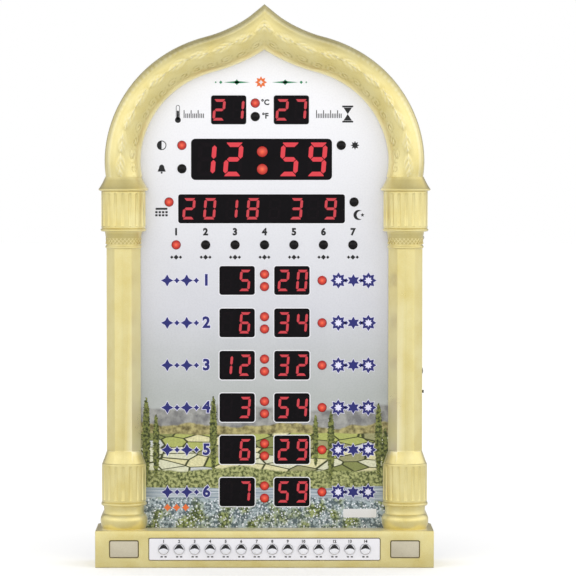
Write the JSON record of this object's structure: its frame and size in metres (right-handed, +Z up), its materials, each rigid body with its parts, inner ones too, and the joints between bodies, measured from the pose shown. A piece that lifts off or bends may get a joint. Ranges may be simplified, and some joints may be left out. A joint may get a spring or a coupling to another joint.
{
  "type": "azan clock",
  "caption": "Arched wall and table clock: gold column frame on a plinth, red LED displays in a printed face, a row of keys, a thumbwheel and a slide switch.",
  "frame": {"origin": "on the surface that the clock stands on, under the middle of its bounding box", "axes": "+Z up to the arch's point, the face looks along -Y, +X to the right of someone who reads the face"},
  "size_m": [0.2408, 0.05, 0.4002],
  "materials": {
    "gold_case": "pearl champagne gold paint on moulded plastic",
    "dark_cover": "fine textured black plastic",
    "printed_panel": "silver sheet with a printed landscape at the foot",
    "white_label": "white printed film",
    "white_key": "polished",
    "display_lens": "smoked black filter with lit red segments",
    "red_lens": "clear tinted dome",
    "grey_window": "frosted",
    "circuit_board": "green solder mask",
    "speaker_steel": "zinc plated",
    "speaker_paper": "pressed paper",
    "black_plastic": "moulded",
    "bright_steel": "bright plated"
  },
  "bodies": {
    "case": {"back_cover": "dark_cover", "backup_cell": "bright_steel", "cell_holder": "black_plastic", "colon_lights": "red_lens", "display_board": "circuit_board", "display_countdown": "display_lens", "display_date": "display_lens", "display_temperature": "display_lens", "display_time": "display_lens", "face_panel": "printed_panel", "front_case": "gold_case", "infrared_receiver": "black_plastic", "key_board": "circuit_board", "key_label": "white_label", "left_status_lights": "red_lens", "left_window": "grey_window", "mode_switch_body": "bright_steel", "power_inlet": "black_plastic", "right_status_lights": "red_lens", "right_window": "grey_window", "row_1_hours": "display_lens", "row_1_minutes": "display_lens", "row_2_hours": "display_lens", "row_2_minutes": "display_lens", "row_3_hours": "display_lens", "row_3_minutes": "display_lens", "row_4_hours": "display_lens", "row_4_minutes": "display_lens", "row_5_hours": "display_lens", "row_5_minutes": "display_lens", "row_6_hours": "display_lens", "row_6_minutes": "display_lens", "row_lights": "red_lens", "screw_lower_left": "bright_steel", "screw_lower_right": "bright_steel", "screw_top": "bright_steel", "screw_upper_left": "bright_steel", "screw_upper_right": "bright_steel", "speaker_cone": "speaker_paper", "speaker_frame": "speaker_steel", "temperature_probe": "black_plastic", "unit_lights": "red_lens", "volume_control": "black_plastic", "weekday_lights": "red_lens"},
    "key_01": {"key_01": "white_key"},
    "key_02": {"key_02": "white_key"},
    "key_03": {"key_03": "white_key"},
    "key_04": {"key_04": "white_key"},
    "key_05": {"key_05": "white_key"},
    "key_06": {"key_06": "white_key"},
    "key_07": {"key_07": "white_key"},
    "key_08": {"key_08": "white_key"},
    "key_09": {"key_09": "white_key"},
    "key_10": {"key_10": "white_key"},
    "key_11": {"key_11": "white_key"},
    "key_12": {"key_12": "white_key"},
    "key_13": {"key_13": "white_key"},
    "key_14": {"key_14": "white_key"},
    "volume_wheel": {"volume_wheel": "black_plastic"},
    "mode_switch_slider": {"mode_switch_slider": "black_plastic"}
  },
  "joints": [
    {"name": "key_01_press", "type": "slide", "parent": "case", "child": "key_01", "axis": [0, 1, 0], "range_m": [0, 0.0008], "stiffness_N_per_m": 2000},
    {"name": "key_02_press", "type": "slide", "parent": "case", "child": "key_02", "axis": [0, 1, 0], "range_m": [0, 0.0008], "stiffness_N_per_m": 2000},
    {"name": "key_03_press", "type": "slide", "parent": "case", "child": "key_03", "axis": [0, 1, 0], "range_m": [0, 0.0008], "stiffness_N_per_m": 2000},
    {"name": "key_04_press", "type": "slide", "parent": "case", "child": "key_04", "axis": [0, 1, 0], "range_m": [0, 0.0008], "stiffness_N_per_m": 2000},
    {"name": "key_05_press", "type": "slide", "parent": "case", "child": "key_05", "axis": [0, 1, 0], "range_m": [0, 0.0008], "stiffness_N_per_m": 2000},
    {"name": "key_06_press", "type": "slide", "parent": "case", "child": "key_06", "axis": [0, 1, 0], "range_m": [0, 0.0008], "stiffness_N_per_m": 2000},
    {"name": "key_07_press", "type": "slide", "parent": "case", "child": "key_07", "axis": [0, 1, 0], "range_m": [0, 0.0008], "stiffness_N_per_m": 2000},
    {"name": "key_08_press", "type": "slide", "parent": "case", "child": "key_08", "axis": [0, 1, 0], "range_m": [0, 0.0008], "stiffness_N_per_m": 2000},
    {"name": "key_09_press", "type": "slide", "parent": "case", "child": "key_09", "axis": [0, 1, 0], "range_m": [0, 0.0008], "stiffness_N_per_m": 2000},
    {"name": "key_10_press", "type": "slide", "parent": "case", "child": "key_10", "axis": [0, 1, 0], "range_m": [0, 0.0008], "stiffness_N_per_m": 2000},
    {"name": "key_11_press", "type": "slide", "parent": "case", "child": "key_11", "axis": [0, 1, 0], "range_m": [0, 0.0008], "stiffness_N_per_m": 2000},
    {"name": "key_12_press", "type": "slide", "parent": "case", "child": "key_12", "axis": [0, 1, 0], "range_m": [0, 0.0008], "stiffness_N_per_m": 2000},
    {"name": "key_13_press", "type": "slide", "parent": "case", "child": "key_13", "axis": [0, 1, 0], "range_m": [0, 0.0008], "stiffness_N_per_m": 2000},
    {"name": "key_14_press", "type": "slide", "parent": "case", "child": "key_14", "axis": [0, 1, 0], "range_m": [0, 0.0008], "stiffness_N_per_m": 2000},
    {"name": "volume_turn", "type": "hinge", "parent": "case", "child": "volume_wheel", "pos_m": [0.1084, 0.01108, 0.138], "axis": [0, 1, 0], "range_deg": [-135, 135]},
    {"name": "mode_switch_slide", "type": "slide", "parent": "case", "child": "mode_switch_slider", "axis": [0, 0, 1], "range_m": [0, 0.002]}
  ]
}
